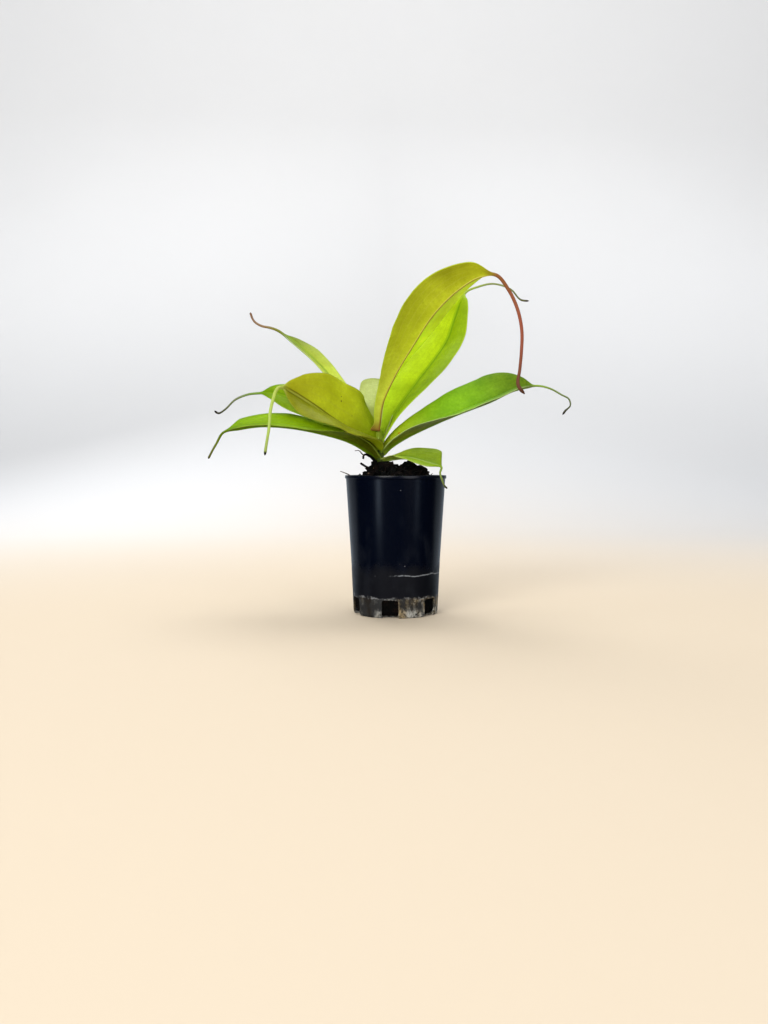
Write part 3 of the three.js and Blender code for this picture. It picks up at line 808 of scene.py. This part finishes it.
pot = {
    "segments": 96,
    # radius and height of each ring, up the outside, over the lip and down the inside
    "rings": [(29.6, 0), (30.7, 0.45), (31.27, 1.6), (31.85, 14.4), (32.4, 27), (33, 40), (34.2, 59),
              (35.5, 79.5), (36.74, 99.5), (37.3, 99.65), (37.5, 99.95), (37.5, 101.5), (37.4, 101.85),
              (37.1, 102), (36.0, 102), (35.75, 101.85), (35.6, 99.5), (34.3, 79.5), (33.0, 59),
              (31.8, 40), (30.9, 20), (30.1, 2.9), (29.4, 1.7), (28.4, 1.2)],
    "notches": 6, "notchWidth": 12, "notchHeight": 13, "notchDepth": 8, "notchRadius": 31.2,
    "notchBevel": 1.6, "firstNotch": -98,
    "plastic": "#010410", "dustLow": "#101013", "smear": "#30343c", "dust": "#8a8c90",
    "deposit": "#b4b4ae", "depositWarm": "#8c7c5e", "tide": "#85888c", "water": "#8f949a",
    # where the marks are, in metres: heights over the table, and the bare patch's place from side to side
    "dustTop": (0.046, 0.036), "depositTop": (0.0168, 0.0150), "tideLine": 0.0158, "waterLine": 0.0307,
    "bareAt": -0.0195,
}


def potPiece():
    radius, height = pot["rings"][0]
    piece = startDisc(pot["segments"], radius, (0, 0, height))
    raiseRings(pot["rings"])
    endClosed()
    cutters = []
    for i in range(pot["notches"]):
        angle = math.radians(pot["firstNotch"] + 360 / pot["notches"] * i)
        middle = pot["notchRadius"] * mm
        size = (2 * pot["notchDepth"] * mm, pot["notchWidth"] * mm, 2 * pot["notchHeight"] * mm)
        cutter = added(bpy.ops.mesh.primitive_cube_add, size=1, rotation=(0, 0, angle), scale=size,
                       location=(middle * math.cos(angle), middle * math.sin(angle), 0))
        applyPlace(cutter)
        startEdit(cutter)
        bpy.ops.mesh.bevel(offset=pot["notchBevel"] * mm, segments=3)
        endEdit()
        cutters.append(cutter)
    cutter = joinPieces(cutters)
    hollow = piece.modifiers.new("notches", "BOOLEAN")
    hollow.object = cutter
    hollow.operation = "DIFFERENCE"
    applyModifiers(piece)
    bpy.data.objects.remove(cutter)
    smoothShade(piece, 28)
    return piece


def potMaterial():
    material, tree, shader = newMaterial("pot_plastic")
    across, away, height = placeValues(tree)
    clouds = cloudiness(tree, 70, 2.4, (1, 1, 0.6))
    fine = cloudiness(tree, 420)
    grain = cloudiness(tree, 1500, 3)

    # dusty lower part, with faint smears and single dust grains
    dusty = mapped(tree, timesPlus(tree, clouds, 0.010, height), *pot["dustTop"])
    colour = layTone(tree, pot["plastic"], pot["dustLow"], dusty, 0.6)
    smear = times(tree, mapped(tree, clouds, 0.55, 0.95), mapped(tree, height, 0.085, 0.04))
    colour = layTone(tree, colour, pot["smear"], smear, 0.12)
    colour = layTone(tree, colour, pot["dust"], dotMask(tree, 330, 0.025, 0.18), 0.25)

    # pale mineral deposit round the foot, thickest at the bottom and thinner towards the left
    tide = timesPlus(tree, fine, 0.003, height)
    bottom = mapped(tree, height, 0.009, 0.0005, 0, 0.45)
    streaks = cloudiness(tree, 210, stretch=(1, 1, 0.8))
    thick = calculate(tree, "ADD", timesPlus(tree, streaks, 0.7, clouds), bottom)
    speckled = times(tree, mapped(tree, calculate(tree, "ADD", grain, fine), 0.5, 1.4),
                     mapped(tree, thick, 0.6, 1.5))
    speckled = times(tree, speckled, mapped(tree, across, -0.022, 0.004, 0.28, 1))
    # a patch left of the front notch has stayed bare
    covered = calculate(tree, "MAXIMUM", mapped(tree, gapTo(tree, across, pot["bareAt"]), 0.003, 0.0048),
                        mapped(tree, away, -0.02, 0))
    speckled = times(tree, speckled, calculate(tree, "MAXIMUM", covered, 0.12))
    crust = times(tree, mapped(tree, tide, *pot["depositTop"]),
                  timesPlus(tree, speckled, 1.15, 0.04, clamp=True))
    crustColour = mixColour(tree, mapped(tree, clouds, 0.4, 0.7), pot["deposit"], pot["depositWarm"])
    colour = mixColour(tree, crust, colour, crustColour)
    # the tide line along its upper edge
    line = times(tree, mapped(tree, gapTo(tree, tide, pot["tideLine"]), 0.0005, 0.0002),
                 mapped(tree, streaks, 0.3, 0.8))
    colour = layTone(tree, colour, pot["tide"], line, 0.7)

    # one thin pale water line low on the right
    centred = calculate(tree, "SUBTRACT", clouds, 0.5)
    level = timesPlus(tree, centred, 0.0016, pot["waterLine"])
    water = times(tree, mapped(tree, gapTo(tree, height, level), 0.0006, 0.0001),
                  mapped(tree, across, -0.006, 0.001))
    broken = times(tree, mapped(tree, away, 0.012, 0), mapped(tree, fine, 0.1, 0.45))
    colour = layTone(tree, colour, pot["water"], times(tree, water, broken), 0.62)

    rough = timesPlus(tree, dusty, 0.16, 0.2)
    rough = timesPlus(tree, fine, 0.06, rough)
    rough = timesPlus(tree, crust, 0.4, rough, clamp=True)
    relief = timesPlus(tree, fine, 0.02, crust)
    setShader(tree, shader, colour, rough, 0.19, bumped(tree, relief, 0.3, 0.0004))
    return material


finishPiece(potPiece(), "pot_shell", potMaterial(), "pot", "pot")
print("pot done")


# Millimetres. A lump is its place, size, turn and how flat it is; a bit is its radius and its course.
bark = {
    "wall": [(27.4, 1.6), (29.9, 5), (31.4, 40), (35.1, 97.2)],  # radius and height inside the pot
    "edgeHeight": 97.5, "rise": 9.5, "radius": 31, "dip": 2.6, "seed": 5.2, "corners": 64,
    "chipKinds": 5,
    "lumps": [((-12, -5, 104.5), 7.5, (0.3, 0.5, 0.2), 0.8), ((-7, -7, 106.5), 6.2, (1.1, 0.2, 0.9), 0.8),
              ((-12, 8, 105), 8, (0.6, 1.3, 0.4), 0.8), ((9.6, -6, 106.5), 6.2, (0.4, 0.9, 1.6), 0.9),
              ((17, -8, 104), 6.4, (1.4, 0.3, 0.5), 0.8), ((13, 8, 104.5), 7, (0.2, 0.8, 0.9), 0.8)],
    "edgeZone": 23,  # strewn pieces further out than this are smaller by their atEdge
    "chips": {"count": 150, "reach": 32, "sizes": (2.2, 5.0), "form": (2.1, 1.4, 1.0), "lift": 0.1,
              "atEdge": 0.55},
    "crumbs": {"count": 420, "reach": 33, "sizes": (0.5, 1.5), "form": (2.0, 1.5, 1.2), "lift": 0.5},
    "bits": {
        "darkStick": (1.35, [(-10, -6, 102), (-17, -6, 105.5), (-26, -6, 111)]),
        "oldStub": (1.25, [(-12, -4, 106), (-15, -4, 112), (-19, -4, 116), (-23, -4, 117), (-24, -4, 114)]),
        "curlyRoot": (0.5, [(-23, -4, 116), (-25, -5, 118), (-27, -5, 120), (-30, -5, 120)]),
        "twigOverRim": (0.5, [(-28, -2, 98), (-35, -2, 102.6), (-41, -2, 105)]),
        "fibre": (0.4, [(20, -4, 99), (25, -5, 104.5)]),
        "frontFibre": (0.4, [(22, -8, 99), (27, -9, 103.5)]),
    },
    "dark": "#030303", "brown": "#160c08", "deep": "#050505", "pale": "#6c5a46", "twig": "#5c4a38",
}
barkRandom = random.Random(7)


def moundHeight(x, y):
    radius = min(math.hypot(x, y) / bark["radius"], 1)
    dip = bark["dip"] * math.exp(-((x - 1.4) / 2.2) ** 2 - (y / 20) ** 2)
    return bark["edgeHeight"] + bark["rise"] * (1 - radius ** 2) - dip


def bedPiece():
    footRadius, footHeight = bark["wall"][0]
    edgeRadius, wallTop = bark["wall"][-1]
    piece = startDisc(bark["corners"], footRadius, (0, 0, footHeight))
    raiseRings(bark["wall"])
    radius = edgeRadius
    for share in [*(round(0.94 - 0.06 * i, 2) for i in range(15)), 0.05]:
        bpy.ops.mesh.inset(thickness=(radius - edgeRadius * share) * mm, depth=0)
        radius = edgeRadius * share
    endClosed()
    for vertex in piece.data.vertices:
        if vertex.co.z > (wallTop - 0.2) * mm:
            bumps = 1.1 * noise.noise(vertex.co * 320) + 0.7 * noise.noise(vertex.co * 800)
            vertex.co.z = (moundHeight(vertex.co.x / mm, vertex.co.y / mm) - 0.4 + bumps) * mm
    smoothShade(piece, 40)
    return piece


# Three noise values for a place, the same on every run.
def crumple(place):
    steps = ((3.7, 1.3, 8.1), (11.9, 6.4, 2.2), (5.3, 14.8, 9.6))
    return Vector([noise.noise(place + Vector(step)) for step in steps])


def chipModel(kind):
    chip = added(bpy.ops.mesh.primitive_cube_add, size=1)
    startEdit(chip)
    bpy.ops.mesh.subdivide(number_cuts=1)
    endEdit()
    for vertex in chip.data.vertices:
        away = crumple(vertex.co * 1.7 + Vector((kind * 3.1, kind, bark["seed"])))
        vertex.co = vertex.co.normalized() * 0.55 + away * 0.3
    smoothShade(chip, 35)
    return chip


def copyOf(model):
    copied = model.copy()
    copied.data = model.data.copy()
    bpy.context.scene.collection.objects.link(copied)
    return copied


# Copies of the models at random over the mound.
def strew(models, count, reach, sizes, form, lift, atEdge=1):
    pieces = []
    for i in range(count):
        angle = barkRandom.uniform(0, math.tau)
        far = math.sqrt(barkRandom.random()) * reach
        size = barkRandom.uniform(*sizes) * (atEdge if far > bark["edgeZone"] else 1)
        x, y = far * math.cos(angle), far * math.sin(angle)
        chip = copyOf(models[i % len(models)])
        chip.location = Vector((x, y, moundHeight(x, y) + lift * size)) * mm
        chip.rotation_euler = [barkRandom.uniform(0, math.tau) for _ in range(3)]
        chip.scale = Vector(form) * size * mm
        pieces.append(chip)
    return pieces


def barkChips():
    models = [chipModel(kind) for kind in range(bark["chipKinds"])]
    pieces = []
    for i, (place, size, turn, flat) in enumerate(bark["lumps"]):
        lump = copyOf(models[i % len(models)])
        lump.location = Vector(place) * mm
        lump.rotation_euler = turn
        lump.scale = Vector((2.3 * size, 1.8 * size, 1.7 * size * flat)) * mm
        pieces.append(lump)
    pieces += strew(models, **bark["chips"])
    pieces += strew(models, **bark["crumbs"])
    applyPlace(*pieces)
    joined = joinPieces(pieces)
    for model in models:
        bpy.data.objects.remove(model)
    return joined


# A thin stick or root: a round curve turned into a mesh, thinner towards its end.
def stickPiece(radius, points):
    stick = added(bpy.ops.curve.primitive_nurbs_path_add)
    curve = stick.data
    curve.splines.clear()
    spline = curve.splines.new("BEZIER")
    spline.bezier_points.add(len(points) - 1)
    for i, (bezier, point) in enumerate(zip(spline.bezier_points, points)):
        bezier.co = Vector(point) * mm
        bezier.handle_left_type = bezier.handle_right_type = "AUTO"
        bezier.radius = 1 - 0.45 * i / (len(points) - 1)
    curve.dimensions = "3D"
    curve.resolution_u = 6
    curve.bevel_depth = radius * mm
    curve.bevel_resolution = 2
    curve.use_fill_caps = True
    choose(stick)
    bpy.ops.object.convert(target="MESH")
    stick = bpy.context.object
    for vertex in stick.data.vertices:
        vertex.co += crumple(vertex.co * 900) * 0.22 * radius * mm
    applyPlace(stick)
    return stick


def barkMaterial():
    material, tree, shader = newMaterial("bark_dark")
    clouds = cloudiness(tree, 160)
    fibres = cloudiness(tree, 900, stretch=(1, 0.25, 1))
    colour = mixColour(tree, mapped(tree, clouds, 0.35, 1), bark["dark"], bark["brown"])
    colour = layTone(tree, colour, bark["deep"], fibres, 0.35)
    colour = layTone(tree, colour, bark["pale"], dotMask(tree, 300, 0.09, 0.22), 0.7)
    roughness = mapped(tree, fibres, 0, 1, 0.7, 0.95, "LINEAR")
    relief = calculate(tree, "ADD", fibres, clouds)
    setShader(tree, shader, colour, roughness, 0.1, bumped(tree, relief, 0.7, 0.0006))
    return material


def twigMaterial():
    material, tree, shader = newMaterial("twig_brown")
    clouds = cloudiness(tree, 500)
    colour = mixColour(tree, clouds, bark["twig"], bark["brown"])
    setShader(tree, shader, colour, 0.75, 0.5, bumped(tree, clouds, 0.5, 0.0004))
    return material


sticks = {name: stickPiece(radius, points) for name, (radius, points) in bark["bits"].items()}
barkPieces = [bedPiece(), barkChips(), sticks.pop("darkStick"), sticks.pop("oldStub")]
finishPiece(joinPieces(barkPieces), "bark_bed", barkMaterial(), "medium", "medium")
finishPiece(joinPieces(list(sticks.values())), "loose_twigs", twigMaterial(), "medium")
print("bark done")


# Metres. A highlight strip is a direction on the floor, seen from the pot, and its strength; it glows only in
# gloss.
sweep = {
    "halfWidth": 5.0, "front": -1.3, "back": 1.8, "height": 3.2, "bend": 1.1,
    # the middle tone, over the bend, is darker than the wall's: painted shade against the lamps' bright band
    # there
    "tones": ("#c2b4a0", "#c6c7c9", "#f2f3f5"), "cloud": "#b8b2aa",
    "glossBeside": "#8d96a0", "glossInFront": "#08090c",
    "highlightStrips": [((-0.64, -0.763), 1), ((0.766, -0.643), 0.3)],
    "stripReach": (0.3, 0.65), "stripEdge": (0.08, 0.03), "stripLight": (4.2, 5.2, 6.4, 1),
}


def sweepMaterial():
    material, tree, shader = newMaterial("sweep_paper")
    across, away, height = placeValues(tree)
    aside = calculate(tree, "ABSOLUTE", across)
    path = timesPlus(tree, aside, 0.6, calculate(tree, "ADD", away, height))
    colour = toneAlong(tree, mapped(tree, path, 0.1, 3.1, way="LINEAR"), sweep["tones"])
    colour = layTone(tree, colour, sweep["cloud"], cloudiness(tree, 3, 1), 0.06)

    # painted reflection: in gloss the sweep shows dark in front of the object and pale beside and behind it
    mirrored = addNode(tree, "ShaderNodeLightPath").outputs["Is Glossy Ray"]
    inFront = mapped(tree, calculate(tree, "SUBTRACT", away, times(tree, aside, 0.25)), 0.05, -0.02)
    paintedReflection = mixColour(tree, inFront, sweep["glossBeside"], sweep["glossInFront"])
    colour = mixColour(tree, mirrored, colour, paintedReflection)

    # painted highlights: two strips on the floor glow only for glossy rays and show in the pot's gloss as
    # upright highlights
    highlightStrips = None
    for (alongX, alongY), strength in sweep["highlightStrips"]:
        far = timesPlus(tree, across, alongX, times(tree, away, alongY))
        off = timesPlus(tree, across, -alongY, times(tree, away, alongX))
        strip = times(tree, mapped(tree, far, *sweep["stripReach"], 0, strength),
                      mapped(tree, calculate(tree, "ABSOLUTE", off), *sweep["stripEdge"]))
        highlightStrips = calculate(tree, "ADD", highlightStrips, strip) if highlightStrips else strip
    paintedHighlight = mixColour(tree, times(tree, highlightStrips, mirrored), "#000000", sweep["stripLight"])
    setInputs(tree, shader, {"Base Color": colour, "Emission Color": paintedHighlight, "Emission Strength": 1,
                             "Roughness": 0.8, "Specular IOR Level": 0.1})
    return material


def sweepPiece():
    back = sweep["back"]
    piece = added(bpy.ops.mesh.primitive_plane_add, size=2, location=(0, (sweep["front"] + back) / 2, 0))
    piece.scale = (sweep["halfWidth"], (back - sweep["front"]) / 2, 1)
    applyPlace(piece)
    startEdit(piece)
    selectEdges(piece, lambda edge: all(v.co.y > back - mm for v in edge.verts))
    extrude(0, 0, sweep["height"])
    selectEdges(piece, lambda edge: all(v.co.y > back - mm and v.co.z < mm for v in edge.verts))
    bpy.ops.mesh.bevel(offset=sweep["bend"], segments=40)
    endEdit()
    smoothShade(piece, 60)
    piece.data.materials.append(sweepMaterial())
    piece.name = "sweep"
    return piece


sweepPiece()
print("floor done")
